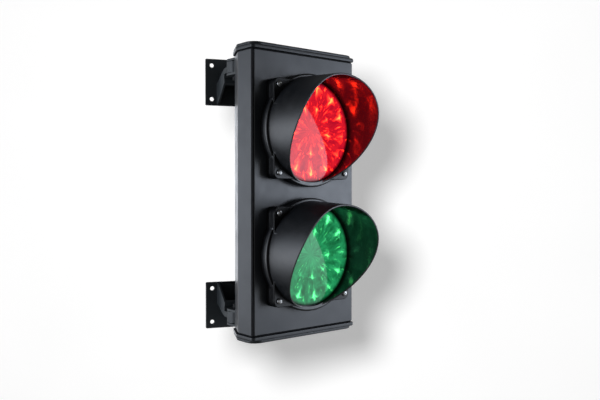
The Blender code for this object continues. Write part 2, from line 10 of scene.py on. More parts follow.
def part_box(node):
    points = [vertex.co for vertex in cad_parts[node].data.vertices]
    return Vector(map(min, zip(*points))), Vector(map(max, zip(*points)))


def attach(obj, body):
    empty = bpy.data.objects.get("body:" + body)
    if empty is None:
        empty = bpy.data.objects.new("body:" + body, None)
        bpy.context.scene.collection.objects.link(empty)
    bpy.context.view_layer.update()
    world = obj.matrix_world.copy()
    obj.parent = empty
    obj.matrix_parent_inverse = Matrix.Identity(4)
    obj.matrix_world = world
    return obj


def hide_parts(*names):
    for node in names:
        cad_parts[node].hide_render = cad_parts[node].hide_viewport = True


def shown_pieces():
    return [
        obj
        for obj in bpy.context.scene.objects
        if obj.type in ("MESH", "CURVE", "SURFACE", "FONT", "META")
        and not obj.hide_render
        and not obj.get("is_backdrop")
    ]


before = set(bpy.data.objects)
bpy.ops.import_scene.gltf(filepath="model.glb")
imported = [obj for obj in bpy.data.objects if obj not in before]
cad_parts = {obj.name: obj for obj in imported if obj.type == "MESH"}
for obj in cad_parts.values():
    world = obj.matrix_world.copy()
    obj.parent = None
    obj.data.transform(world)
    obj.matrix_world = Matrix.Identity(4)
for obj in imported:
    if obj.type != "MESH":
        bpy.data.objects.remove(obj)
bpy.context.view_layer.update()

MM = 0.001
SHARP_ANGLE = math.radians(48.0)
FLAT_FACE_WEIGHT = 80

# Housing section, half width at the front and at the back, in millimetres
HALF_WIDTH = 82.8
BACK_HALF = 64.3
SIDE_DEPTH = 31.0
DEPTH = 65.0
WALL = 2.4
BODY_HALF = 173.3
CORNER = 6.0
CAP_LIP = 2.0
CAP_LOW = 174.9
CAP_HIGH = 183.2
COVER_LEFT = -80.1
COVER_HALF = 173.0
COVER_WALL = 2.4
HINGE = (79.6, 6.0)
LEFT_EDGE_Y = 2.7
RIGHT_EDGE_Y = 9.6

# Lamps
LAMPS = (("red", 78.25), ("green", -78.25))
LUG = 53.65
LUG_HALF = 61.65
BEZEL_RADIUS = 71.0
LENS_RADIUS = 62.0
LENS_BRIM = 64.6
OPENING_RADIUS = 60.0
LOBE_CORNER = 8.0
FLANGE_FACE = 15.5
LUG_ZONE = 36.0
VISOR_BORE = 65.7
LUG_TRIM = 67.4
TUBE_WALL = 2.2
TUBE_ROOT = 10.0
TUBE_RIM = 0.7
VISOR_SCREW_BORE = 2.2

# Wall brackets
PAN = (-49.5, 82.2)
SWIVEL = math.radians(20.0)
ARM = 45.6
PLATE = 63.5
PLATE_WALL = 3.0
PLATE_HOLE = 5.8
PLATE_INSET = 8.75
PLATE_MIDDLE = {"upper": 150.6, "lower": 155.0}
ARM_HALF = (12.6, 16.2)
BOSS_RADIUS = 13.0
COLUMN = (153.0, 174.5)
EAR = 3.0
CHANNELS = [(77.2, 27.0), (-77.2, 27.0), (58.0, 59.6), (-58.0, 59.6)]
GLAND = (22.0, -112.0)
LUG_SCREWS = (-31.0, -20.0)
LUG_SCREW_Z = 163.75
LUG_SCREW_BORE = 2.3
PIVOT_BORE = 3.3
PIN_BORE = 1.8

# The head's own frame starts at the middle of the front cover's face
cover_low, cover_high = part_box("front_cover")
SHIFT = Vector(
    (
        cover_high.x / MM - HALF_WIDTH,
        cover_low.y / MM,
        (cover_low.z + cover_high.z) / 2 / MM,
    )
)
UP = {"upper": 1, "lower": -1}


# ---------------------------------------------------------------- shapes


def mesh_object(name, points, faces, place=None):
    place = place or Matrix()
    mesh = bpy.data.meshes.new(name)
    mesh.from_pydata([(place @ Vector(p) + SHIFT) * MM for p in points], [], faces)
    bm = bmesh.new()
    bm.from_mesh(mesh)
    bmesh.ops.remove_doubles(bm, verts=bm.verts, dist=1e-7)
    bmesh.ops.recalc_face_normals(bm, faces=bm.faces)
    bm.to_mesh(mesh)
    bm.free()
    obj = bpy.data.objects.new(name, mesh)
    bpy.context.scene.collection.objects.link(obj)
    return obj


AXES = {
    "X": lambda a, b, t: (t, a, b),
    "Y": lambda a, b, t: (a, t, b),
    "Z": lambda a, b, t: (a, b, t),
}


def stack(name, sections, axis="Z", place=None):
    """A solid through outlines of equal count: sections is [(outline, height), ...]."""
    count = len(sections[0][0])
    points = [AXES[axis](a, b, height) for outline, height in sections for a, b in outline]
    faces = [tuple(range(count)), tuple(range(len(points) - count, len(points)))]
    for level in range(len(sections) - 1):
        base = level * count
        for i in range(count):
            j = (i + 1) % count
            faces.append((base + i, base + j, base + count + j, base + count + i))
    return mesh_object(name, points, faces, place)


def prism(name, outline, low, high, axis="Z", place=None):
    return stack(name, [(outline, low), (outline, high)], axis, place)


def box(name, low, high, place=None):
    outline = [(low[0], low[1]), (high[0], low[1]), (high[0], high[1]), (low[0], high[1])]
    return prism(name, outline, low[2], high[2], "Z", place)


def circle(radius, centre=(0.0, 0.0), count=64, phase=0.0):
    turns = [phase + 2 * math.pi * i / count for i in range(count)]
    return [(centre[0] + radius * math.cos(t), centre[1] + radius * math.sin(t)) for t in turns]


def rod(name, radius, centre, low, high, axis="Z", count=40, place=None):
    return prism(name, circle(radius, centre, count, 0.11), low, high, axis, place)


def turned(name, profile, centre, axis="Y", count=96, place=None):
    """A solid of revolution: profile is [(radius or one radius for each turn, height), ...]."""
    points = []
    rings = []
    for radius, height in profile:
        rings.append(len(points))
        radii = radius if isinstance(radius, list) else [radius] * count
        for i in range(count if radii[0] > 0 else 1):
            t = 2 * math.pi * i / count
            a = centre[0] + radii[i] * math.cos(t)
            b = centre[1] + radii[i] * math.sin(t)
            points.append(AXES[axis](a, b, height))
    faces = []
    on_axis = [radius == 0 for radius, _ in profile]
    for k in range(len(profile)):
        n = (k + 1) % len(profile)
        if on_axis[k] and on_axis[n]:
            continue
        for i in range(count):
            j = (i + 1) % count
            here = [rings[k]] if on_axis[k] else [rings[k] + i, rings[k] + j]
            there = [rings[n]] if on_axis[n] else [rings[n] + j, rings[n] + i]
            faces.append(tuple(here + there))
    return mesh_object(name, points, faces, place)


def rounded(corners, steps=8):
    """An outline whose corners (a, b, radius) are rounded."""
    outline = []
    count = len(corners)
    for i, (a, b, radius) in enumerate(corners):
        point = Vector((a, b))
        if radius <= 0:
            outline.append((a, b))
            continue
        before = (Vector(corners[i - 1][:2]) - point).normalized()
        after = (Vector(corners[(i + 1) % count][:2]) - point).normalized()
        half = before.angle(after) / 2
        reach = radius / math.tan(half)
        centre = point + (before + after).normalized() * radius / math.sin(half)
        start = point + before * reach - centre
        turn = math.pi - 2 * half
        if before.x * after.y - before.y * after.x > 0:
            turn = -turn
        for k in range(steps + 1):
            ray = Matrix.Rotation(turn * k / steps, 2) @ start
            outline.append((centre.x + ray.x, centre.y + ray.y))
    return outline


def inset(outline, distance):
    """The outline, which runs counterclockwise, moved inwards."""
    moved = []
    count = len(outline)
    for i in range(count):
        here = Vector(outline[i])
        before = (here - Vector(outline[i - 1])).normalized()
        after = (Vector(outline[(i + 1) % count]) - here).normalized()
        first = Vector((-before.y, before.x))
        second = Vector((-after.y, after.x))
        normal = (first + second).normalized()
        here = here + normal * distance / max(0.3, normal.dot(first))
        moved.append((here.x, here.y))
    return moved


def evaluated(obj):
    """Gives the object the mesh that its modifiers make."""
    graph = bpy.context.evaluated_depsgraph_get()
    made = bpy.data.meshes.new_from_object(obj.evaluated_get(graph))
    obj.modifiers.clear()
    old, obj.data = obj.data, made
    bpy.data.meshes.remove(old)


def booleans(obj, operation, others):
    for other in others:
        modifier = obj.modifiers.new(other.name, "BOOLEAN")
        modifier.operation = operation
        modifier.solver = "EXACT"
        modifier.object = other
    evaluated(obj)
    for other in others:
        bpy.data.objects.remove(other)
    return obj


def cut(obj, *others):
    return booleans(obj, "DIFFERENCE", others)


def join(obj, *others):
    return booleans(obj, "UNION", others)


def place_piece(obj, body, nodes, look, bevel=0.25, sharp=32.0, segments=2):
    """Softens the edges, shades it, gives it its material and stands it in for its CAD nodes."""
    if bevel:
        modifier = obj.modifiers.new("edges", "BEVEL")
        modifier.width = bevel * MM
        modifier.segments = segments
        modifier.limit_method = "ANGLE"
        modifier.angle_limit = math.radians(sharp)
        modifier.use_clamp_overlap = False
        evaluated(obj)
    for polygon in obj.data.polygons:
        polygon.use_smooth = True
    obj.data.set_sharp_from_angle(angle=SHARP_ANGLE)
    modifier = obj.modifiers.new("flat faces", "WEIGHTED_NORMAL")
    modifier.weight = FLAT_FACE_WEIGHT
    modifier.keep_sharp = True
    evaluated(obj)
    looks = look if isinstance(look, list) else [look]
    obj.data.materials.clear()
    for one in looks:
        obj.data.materials.append(one)
    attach(obj, body)
    if nodes:
        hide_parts(*nodes)
    return obj


# ---------------------------------------------------------------- materials


class Look:
    """A material, with short ways to add nodes to it. Sizes of patterns are in millimetres."""

    def __init__(self, name, **sockets):
        self.material = bpy.data.materials.new(name)
        self.material.use_nodes = True
        self.nodes = self.material.node_tree.nodes
        self.links = self.material.node_tree.links
        self.shader = self.nodes["Principled BSDF"]
        for socket, value in sockets.items():
            self.set(self.shader, socket.replace("_", " "), value)
        self.where = self.nodes.new("ShaderNodeTexCoord").outputs["Object"]

    def set(self, node, socket, value):
        target = node.inputs[socket]
        if isinstance(value, bpy.types.NodeSocket):
            self.links.new(value, target)
        else:
            if isinstance(value, tuple) and len(value) == 3 and target.type == "RGBA":
                value = (*value, 1.0)
            target.default_value = value

    def node(self, kind, inputs=None, **settings):
        made = self.nodes.new(kind)
        for name, value in settings.items():
            setattr(made, name, value)
        for socket, value in (inputs or {}).items():
            self.set(made, socket, value)
        return made

    def noise(self, size, detail=3.0, rough=0.5, stretch=None, distortion=0.0):
        vector = self.where
        if stretch:
            vector = self.node("ShaderNodeVectorMath", {0: vector, 1: stretch}, operation="MULTIPLY").outputs[0]
        inputs = {
            "Vector": vector,
            "Scale": 1000.0 / size,
            "Detail": detail,
            "Roughness": rough,
            "Distortion": distortion,
        }
        return self.node("ShaderNodeTexNoise", inputs).outputs["Fac"]

    def ramp(self, factor, *stops):
        """Stops are (position, number or colour)."""
        made = self.node("ShaderNodeValToRGB", {"Fac": factor})
        elements = made.color_ramp.elements
        while len(elements) < len(stops):
            elements.new(0.5)
        for element, (position, value) in zip(elements, stops):
            element.position = position
            value = value if isinstance(value, tuple) else (value,) * 3
            element.color = (*value, 1.0)
        return made.outputs["Color"]

    def math(self, operation, a, b=0.0, clamp=False):
        return self.node("ShaderNodeMath", {0: a, 1: b}, operation=operation, use_clamp=clamp).outputs[0]

    def mix(self, factor, a, b, blend="MIX"):
        made = self.node("ShaderNodeMix", data_type="RGBA", blend_type=blend)
        for index, value in ((0, factor), (6, a), (7, b)):
            self.set(made, index, value)
        return made.outputs[2]

    def bump(self, height, strength, distance, normal=None):
        inputs = {"Height": height, "Strength": strength, "Distance": distance * MM}
        if normal:
            inputs["Normal"] = normal
        return self.node("ShaderNodeBump", inputs).outputs["Normal"]

    def edges(self, radius):
        """1 on edges, 0 on flat places."""
        soft = self.node("ShaderNodeBevel", {"Radius": radius * MM}, samples=4).outputs[0]
        hard = self.node("ShaderNodeNewGeometry").outputs["Normal"]
        dot = self.node("ShaderNodeVectorMath", {0: soft, 1: hard}, operation="DOT_PRODUCT").outputs["Value"]
        return self.ramp(dot, (0.80, 1.0), (0.97, 0.0))

    def finish(self, **sockets):
        for socket, value in sockets.items():
            self.set(self.shader, socket.replace("_", " "), value)
        return self.material


def shade(colour, factor):
    return tuple(min(1.0, c * factor) for c in colour)


def coated_metal(name, colour, roughness, peel, wear):
    """Powder coat: a fine orange peel, faint clouds and rain streaks, and edges rubbed a little bright."""
    look = Look(name, Specular_IOR_Level=0.5)
    clouds = look.noise(90.0, 4.0, 0.55)
    streaks = look.noise(7.0, 3.0, 0.6, stretch=(1.0, 1.0, 0.06))
    base = look.ramp(clouds, (0.30, shade(colour, 0.88)), (0.72, shade(colour, 1.10)))
    base = look.mix(look.ramp(streaks, (0.52, 0.0), (0.80, 0.16)), base, shade(colour, 1.7))
    specks = look.noise(0.55, 1.0, 0.5)
    base = look.mix(look.ramp(specks, (0.60, 0.0), (0.74, 0.25)), base, shade(colour, 1.9))
    rubbed = look.math("MULTIPLY", look.edges(0.9), look.ramp(look.noise(5.0, 3.0, 0.6), (0.42, 0.0), (0.62, wear)))
    base = look.mix(rubbed, base, shade(colour, 3.2))
    rough = look.ramp(look.noise(24.0, 4.0, 0.6), (0.3, roughness - 0.05), (0.7, roughness + 0.06))
    normal = look.bump(look.noise(1.6, 2.0, 0.5), peel, 0.12)
    normal = look.bump(look.noise(0.35, 1.0, 0.5), peel * 0.5, 0.04, normal)
    return look.finish(Base_Color=base, Roughness=rough, Normal=normal)


def moulded(name, colour, roughness, grain=0.25, wear=0.35, specular=0.5, scuffs=0.5, waves=0.06, **sockets):
    """Moulded plastic: a spark-eroded grain, soft flow clouds, small scuffs and paler worn edges."""
    look = Look(name, Specular_IOR_Level=specular, **sockets)
    clouds = look.noise(40.0, 3.0, 0.5, distortion=0.6)
    base = look.ramp(clouds, (0.3, shade(colour, 0.82)), (0.7, shade(colour, 1.2)))
    marks = look.noise(3.2, 4.0, 0.7, stretch=(1.0, 0.22, 1.0))
    base = look.mix(look.ramp(marks, (0.60, 0.0), (0.78, 0.35 * scuffs)), base, shade(colour, 2.6))
    rubbed = look.math("MULTIPLY", look.edges(0.6), look.ramp(look.noise(4.0, 3.0, 0.6), (0.38, 0.0), (0.62, wear)))
    base = look.mix(rubbed, base, shade(colour, 4.0))
    rough = look.ramp(look.noise(9.0, 4.0, 0.65), (0.3, roughness - 0.05), (0.75, roughness + 0.09))
    normal = look.bump(look.noise(0.5, 2.0, 0.6), grain, 0.05)
    normal = look.bump(look.noise(14.0, 2.0, 0.5), 1.0, waves * 0.6, normal)
    return look.finish(Base_Color=base, Roughness=rough, Normal=normal)


def metal(name, colour, roughness):
    """Plated steel: fine turning marks, dull patches and darker spots."""
    look = Look(name, Metallic=1.0)
    patches = look.noise(2.2, 4.0, 0.6)
    base = look.ramp(patches, (0.35, shade(colour, 0.62)), (0.62, colour))
    fine = look.noise(0.30, 3.0, 0.6, stretch=(1.0, 0.25, 1.0))
    rough = look.ramp(fine, (0.3, roughness - 0.08), (0.7, roughness + 0.12))
    return look.finish(Base_Color=base, Roughness=rough, Normal=look.bump(fine, 0.25, 0.02))


def rubber(name):
    """Dusty black rubber."""
    look = Look(name, Specular_IOR_Level=0.15)
    dust = look.noise(6.0, 4.0, 0.6)
    base = look.ramp(dust, (0.35, (0.003, 0.003, 0.004)), (0.75, (0.010, 0.010, 0.011)))
    rough = look.ramp(look.noise(2.0, 3.0, 0.6), (0.3, 0.62), (0.7, 0.82))
    return look.finish(Base_Color=base, Roughness=rough, Normal=look.bump(look.noise(0.4, 2.0), 0.4, 0.05))


def board(name):
    """Solder mask with copper tracks, pads and a little flux haze."""
    look = Look(name, Specular_IOR_Level=0.5)
    mask = look.ramp(look.noise(20.0, 3.0), (0.3, (0.004, 0.05, 0.02)), (0.7, (0.008, 0.085, 0.035)))
    bricks = look.node(
        "ShaderNodeTexBrick",
        {"Vector": look.node("ShaderNodeMapping", {"Vector": look.where, "Rotation": (math.pi / 2, 0, 0)}).outputs[0],
         "Scale": 110.0, "Mortar Size": 0.045, "Color1": (0, 0, 0), "Color2": (0, 0, 0), "Mortar": (1, 1, 1)},
    ).outputs["Color"]
    base = look.mix(look.math("MULTIPLY", bricks, 0.55), mask, (0.05, 0.22, 0.09))
    cells = look.node("ShaderNodeTexVoronoi", {"Vector": look.where, "Scale": 180.0}).outputs["Distance"]
    pads = look.ramp(cells, (0.16, 1.0), (0.22, 0.0))
    base = look.mix(pads, base, (0.55, 0.52, 0.48))
    rough = look.ramp(look.noise(5.0, 3.0), (0.3, 0.28), (0.7, 0.5))
    return look.finish(Base_Color=base, Roughness=rough, Normal=look.bump(look.math("ADD", bricks, pads), 0.3, 0.05))


# Rings of light points behind a lens: radius, number of points, turn from the lens's own first angle,
# length of a ray inwards, length of its head outwards, width, strength
RINGS = (
    (55.0, 13, 0.0, 10.0, 2.8, 2.2, 1.0),
    (30.5, 9, math.radians(-4.0), 8.0, 2.4, 2.1, 0.8),
)


def lens(name, middle, first, dark, body, bright, streak, hot):
    """A lamp lens with the light points behind it drawn out into uneven rays."""
    look = Look(name, Roughness=0.05, Specular_IOR_Level=0.22)
    centre = (SHIFT + Vector((0.0, 0.0, middle))) * MM
    local = look.node("ShaderNodeVectorMath", {0: look.where, 1: tuple(centre)}, operation="SUBTRACT").outputs[0]
    local = look.node("ShaderNodeVectorMath", {0: local, 1: (1000.0,) * 3}, operation="MULTIPLY").outputs[0]
    parts = look.node("ShaderNodeSeparateXYZ", {0: local}).outputs
    across, up = parts[0], parts[2]
    flat = look.node("ShaderNodeCombineXYZ", {0: across, 1: up}).outputs[0]
    radius = look.node("ShaderNodeVectorMath", {0: flat}, operation="LENGTH").outputs["Value"]
    angle = look.math("ARCTAN2", up, across)

    def polar_noise(turns, reach, detail, offset):
        """Noise on (cos, sin, radius), so that it closes round the circle and runs out in rays."""
        ring = look.node("ShaderNodeCombineXYZ", {
            0: look.math("MULTIPLY", look.math("COSINE", angle), turns),
            1: look.math("MULTIPLY", look.math("SINE", angle), turns),
            2: look.math("ADD", look.math("DIVIDE", radius, reach), offset),
        }).outputs[0]
        inputs = {"Vector": ring, "Scale": 1.0, "Detail": detail, "Roughness": 0.6}
        return look.node("ShaderNodeTexNoise", inputs).outputs["Fac"]

    def flat_noise(size, detail, distortion=0.0):
        inputs = {"Vector": flat, "Scale": 1.0 / size, "Detail": detail, "Roughness": 0.6, "Distortion": distortion}
        return look.node("ShaderNodeTexNoise", inputs).outputs["Fac"]

    colour = look.ramp(flat_noise(16.0, 4.0, 0.8), (0.30, dark), (0.50, body), (0.72, bright))
    core = look.ramp(look.math("DIVIDE", radius, LENS_RADIUS), (0.0, 0.6), (0.75, 0.0))
    colour = look.mix(core, colour, bright)
    rays = polar_noise(8.0, 30.0, 3.0, 3.0)
    colour = look.mix(look.ramp(rays, (0.48, 0.0), (0.72, 0.6)), colour, bright)
    shadows = polar_noise(5.0, 22.0, 3.0, 7.0)
    colour = look.mix(look.ramp(shadows, (0.50, 0.0), (0.70, 0.7)), colour, dark)
    fine = polar_noise(12.0, 11.0, 2.0, 11.0)
    zone = look.ramp(look.math("DIVIDE", radius, LENS_RADIUS), (0.05, 0.1), (0.30, 0.7), (0.60, 0.45), (0.95, 0.35))
    patches = look.ramp(flat_noise(14.0, 2.0), (0.42, 0.15), (0.60, 1.0))
    zone = look.math("MULTIPLY", zone, patches)
    wisps = look.math("MULTIPLY", look.ramp(fine, (0.575, 0.0), (0.70, 1.0)), zone)
    colour = look.mix(wisps, colour, streak)
    colour = look.mix(look.math("MULTIPLY", look.ramp(fine, (0.64, 0.0), (0.76, 0.9)), zone), colour, hot)

    warp_along = look.math("MULTIPLY", look.math("SUBTRACT", flat_noise(9.0, 1.0), 0.5), 9.0)
    warp_side = look.math("MULTIPLY", look.math("SUBTRACT", flat_noise(7.0, 1.0), 0.5), 5.0)
    for ring_radius, count, turned_by, tail, head, width, strength in RINGS:
        step = 2 * math.pi / count
        turn = look.math("DIVIDE", look.math("SUBTRACT", angle, first + turned_by), step)
        nearest = look.math("MULTIPLY", look.math("SUBTRACT", turn, look.math("ROUND", turn)), step)
        side = look.math("ABSOLUTE", look.math("ADD", look.math("MULTIPLY", nearest, radius), warp_side))
        along = look.math("ADD", look.math("SUBTRACT", radius, ring_radius), warp_along)
        outwards = look.math("DIVIDE", look.math("MAXIMUM", along, 0.0), head)
        inwards = look.math("DIVIDE", look.math("MAXIMUM", look.math("MULTIPLY", along, -1.0), 0.0), tail)
        along = look.math("ADD", outwards, inwards)
        far = look.math("ADD", look.math("POWER", look.math("DIVIDE", side, width), 1.2),
                        look.math("POWER", along, 1.5))
        ray = look.math("EXPONENT", look.math("MULTIPLY", far, -1.0))
        bar = look.math("ADD", look.math("POWER", look.math("DIVIDE", side, width * 2.6), 1.2),
                        look.math("MULTIPLY", along, 2.4))
        bar = look.math("EXPONENT", look.math("MULTIPLY", bar, -1.0))
        glow = look.math("MAXIMUM", ray, look.math("MULTIPLY", bar, 0.8))
        uneven = look.ramp(polar_noise(2.3, 200.0, 1.0, ring_radius + 5.0), (0.36, 0.45), (0.54, 1.0))
        glow = look.math("MULTIPLY", look.math("MULTIPLY", glow, uneven), strength, clamp=True)
        colour = look.mix(look.ramp(glow, (0.10, 0.0), (0.40, 0.95)), colour, streak)
        colour = look.mix(look.ramp(glow, (0.36, 0.0), (0.75, 1.0)), colour, hot)
    rim = look.ramp(look.math("DIVIDE", radius, LENS_BRIM), (0.93, 1.0), (0.985, 0.12))
    colour = look.mix(1.0, colour, rim, "MULTIPLY")
    normal = look.bump(flat_noise(9.0, 2.0), 0.12, 0.15)
    return look.finish(Base_Color=shade(body, 0.15), Emission_Color=colour, Emission_Strength=1.0, Normal=normal)


PAINT = coated_metal("anthracite_powder_coat", (0.0150, 0.0180, 0.0225), 0.35, 0.10, 0.30)
BLACK_PAINT = coated_metal("bracket_powder_coat", (0.0170, 0.0215, 0.0240), 0.48, 0.16, 0.35)
CAP_PLASTIC = moulded("cap_plastic", (0.0100, 0.0120, 0.0145), 0.32, 0.15, 0.4)
# This near-black plastic is also put on the visors' flange faces and lugs as painted shade
BEZEL_PLASTIC_AND_FLANGE_SHADE = moulded("bezel_plastic", (0.0020, 0.0022, 0.0028), 0.36, 0.2, 0.3, 0.3)
VISOR_PLASTIC = moulded("visor_plastic", (0.0070, 0.0082, 0.0100), 0.38, 0.25, 0.35, 0.8)
VISOR_INSIDE = moulded("visor_inside", (0.012, 0.011, 0.012), 0.14, 0.2, 0.2, 1.0, 0.2, 1.0,
                       IOR=1.58, Specular_Tint=(1.0, 0.62, 0.85))
VISOR_EDGE = moulded("visor_cut_edge", (0.024, 0.025, 0.025), 0.45, 0.5, 0.2)
GLAND_PLASTIC = moulded("gland_plastic", (0.012, 0.012, 0.013), 0.42, 0.3, 0.3)
WHITE_PLASTIC = moulded("lamp_can_plastic", (0.55, 0.55, 0.53), 0.42, 0.2, 0.1, 0.5, 0.2)
TERMINAL_PLASTIC = moulded("terminal_plastic", (0.50, 0.51, 0.49), 0.45, 0.2, 0.1, 0.5, 0.2)
RUBBER = rubber("seal_rubber")
STEEL = metal("plated_steel", (0.50, 0.50, 0.49), 0.34)
DARK_STEEL = metal("blackened_steel", (0.035, 0.036, 0.038), 0.42)
BOARD = board("printed_board")
LENS = {
    "red": lens("red_lens", 78.25, math.radians(-6.0), (0.40, 0.003, 0.020), (0.60, 0.006, 0.022),
                (0.82, 0.016, 0.026), (6.5, 0.13, 0.060), (27.0, 0.70, 0.14)),
    "green": lens("green_lens", -78.25, 0.0, (0.004, 0.085, 0.027), (0.011, 0.205, 0.070),
                  (0.025, 0.38, 0.135), (0.070, 0.75, 0.26), (0.28, 3.30, 0.66)),
}


# ---------------------------------------------------------------- housing and caps


def section_corners(lip, nose=None):
    """The closed outline of the housing's section, grown by lip, counterclockwise from above."""
    bend = max(1.5, CORNER + lip)
    nose = nose or max(2.0, 3.0 + lip)
    return rounded(
        [
            (HALF_WIDTH + lip, -lip, nose), (HALF_WIDTH + lip, SIDE_DEPTH + lip * 0.3, bend),
            (BACK_HALF + lip * 0.8, DEPTH + lip, bend), (-BACK_HALF - lip * 0.8, DEPTH + lip, bend),
            (-HALF_WIDTH - lip, SIDE_DEPTH + lip * 0.3, bend), (-HALF_WIDTH - lip, -lip, nose),
        ]
    )


def build_housing():
    """The extruded housing with its inner stop lip, screw channels and bores."""
    slope = math.atan2(DEPTH - SIDE_DEPTH, HALF_WIDTH - BACK_HALF)
    shift = WALL * math.tan((math.pi / 2 - slope) / 2)
    back = WALL * math.tan(slope / 2)
    inside = -HALF_WIDTH + WALL
    outline = [
        (HALF_WIDTH, RIGHT_EDGE_Y, 0), (HALF_WIDTH, SIDE_DEPTH, CORNER), (BACK_HALF, DEPTH, CORNER),
        (-BACK_HALF, DEPTH, CORNER), (-HALF_WIDTH, SIDE_DEPTH, CORNER), (-HALF_WIDTH, LEFT_EDGE_Y, 2.0),
        (inside, LEFT_EDGE_Y, 0), (inside, 9.8, 0), (-76.0, 9.8, 0.3), (-76.0, 11.8, 0.3),
        (inside, 11.8, 0), (inside, SIDE_DEPTH - shift, CORNER - WALL),
        (-BACK_HALF + back, DEPTH - WALL, CORNER - WALL), (BACK_HALF - back, DEPTH - WALL, CORNER - WALL),
        (-inside, SIDE_DEPTH - shift, CORNER - WALL), (-inside, RIGHT_EDGE_Y, 0),
    ]
    body = prism("housing_shell", rounded(outline), -BODY_HALF, BODY_HALF)
    ports = [rod(f"port_{i}", 3.9, c, -BODY_HALF + 0.01, BODY_HALF - 0.01) for i, c in enumerate(CHANNELS)]
    join(body, *ports)
    bores = [rod("gland_hole", 8.3, GLAND, DEPTH - 10, DEPTH + 5, axis="Y")]
    for sign in (1, -1):
        for i, centre in enumerate(CHANNELS):
            low, high = sorted((sign * (BODY_HALF - 13), sign * (BODY_HALF + 5)))
            bores.append(rod(f"bore_{sign}_{i}", 1.7, centre, low, high, count=24))
        for x in LUG_SCREWS:
            spot = (x, sign * LUG_SCREW_Z)
            bores.append(rod(f"hole_{sign}_{x}", LUG_SCREW_BORE, spot, DEPTH - 10, DEPTH + 5, "Y", 24))
    cut(body, *bores)
    place_piece(body, "head", ["housing_body"], PAINT, 0.2)


def build_cap(side, sign):
    """An end cap: a rounded rim band, a shadow groove and a raised crown with softer corners."""
    outline = section_corners(CAP_LIP)
    levels = [
        (0.9, CAP_LOW), (0.3, CAP_LOW + 0.15), (0.0, CAP_LOW + 0.6), (0.0, CAP_LOW + 3.4),
        (0.3, CAP_LOW + 4.3), (1.1, CAP_LOW + 4.9), (3.4, CAP_LOW + 5.1),
    ]
    sections = [(inset(outline, step), sign * height) for step, height in levels]
    cap = stack(f"cap_rim_{side}", sections)
    crown = section_corners(CAP_LIP - 0.7, 14.0)
    levels = [
        (0.4, CAP_LOW + 4.0), (0.4, CAP_LOW + 5.7), (0.0, CAP_LOW + 6.0), (0.0, CAP_HIGH - 1.2),
        (0.35, CAP_HIGH - 0.5), (1.2, CAP_HIGH - 0.1), (2.6, CAP_HIGH),
    ]
    join(cap, stack(f"crown_{side}", [(inset(crown, step), sign * height) for step, height in levels]))
    head_low = CAP_HIGH - 3.0
    cutters = []
    for i, centre in enumerate(CHANNELS):
        low, high = sorted((sign * (CAP_LOW - 5), sign * (CAP_HIGH + 5)))
        cutters.append(rod(f"cap_bore_{side}_{i}", 1.9, centre, low, high, count=24))
        low, high = sorted((sign * head_low, sign * (CAP_HIGH + 5)))
        cutters.append(rod(f"cap_recess_{side}_{i}", 3.7, centre, low, high, count=32))
    low, high = sorted((sign * (CAP_LOW - 5), sign * (CAP_LOW + 5.9)))
    cutters.append(rod(f"pin_socket_{side}", PIN_BORE, HINGE, low, high, count=24))
    cut(cap, *cutters)
    place_piece(cap, "head", [f"cap_{side}"], CAP_PLASTIC, 0.15)
    for i, centre in enumerate(CHANNELS):
        base = head_low + 0.3
        profile = [
            (0.0, CAP_LOW - 12.0), (1.4, CAP_LOW - 12.0), (1.4, base), (3.0, base), (3.2, base + 0.3),
            (3.2, base + 1.0), (2.9, base + 1.5), (2.2, base + 1.9), (1.2, base + 2.08), (0.0, base + 2.1),
        ]
        profile = [(radius, sign * height) for radius, height in profile]
        screw = turned(f"cap_screw_head_{side}_{i + 1}", profile, centre, "Z", 32)
        cross_recess(screw, centre, sign * (base + 2.4), sign * (base + 0.9), "Z", 0.5)
        place_piece(screw, "head", [f"cap_screw_{side}_{i + 1}"], STEEL, 0.0)


def cross_recess(screw, centre, top, bottom, axis, turn):
    """A cross recess cut into a screw's head, tapering to its foot."""
    for k in (0, 1):
        sections = []
        for height, half in ((top, 1.9), (bottom, 1.0)):
            a = turn + k * math.pi / 2
            outline = []
            for u, v in ((half, 0.32), (-half, 0.32), (-half, -0.32), (half, -0.32)):
                outline.append((
                    centre[0] + u * math.cos(a) - v * math.sin(a),
                    centre[1] + u * math.sin(a) + v * math.cos(a),
                ))
            sections.append((outline, height))
        cut(screw, stack(f"recess_{k}", sections, axis))


# ---------------------------------------------------------------- front cover and lamps


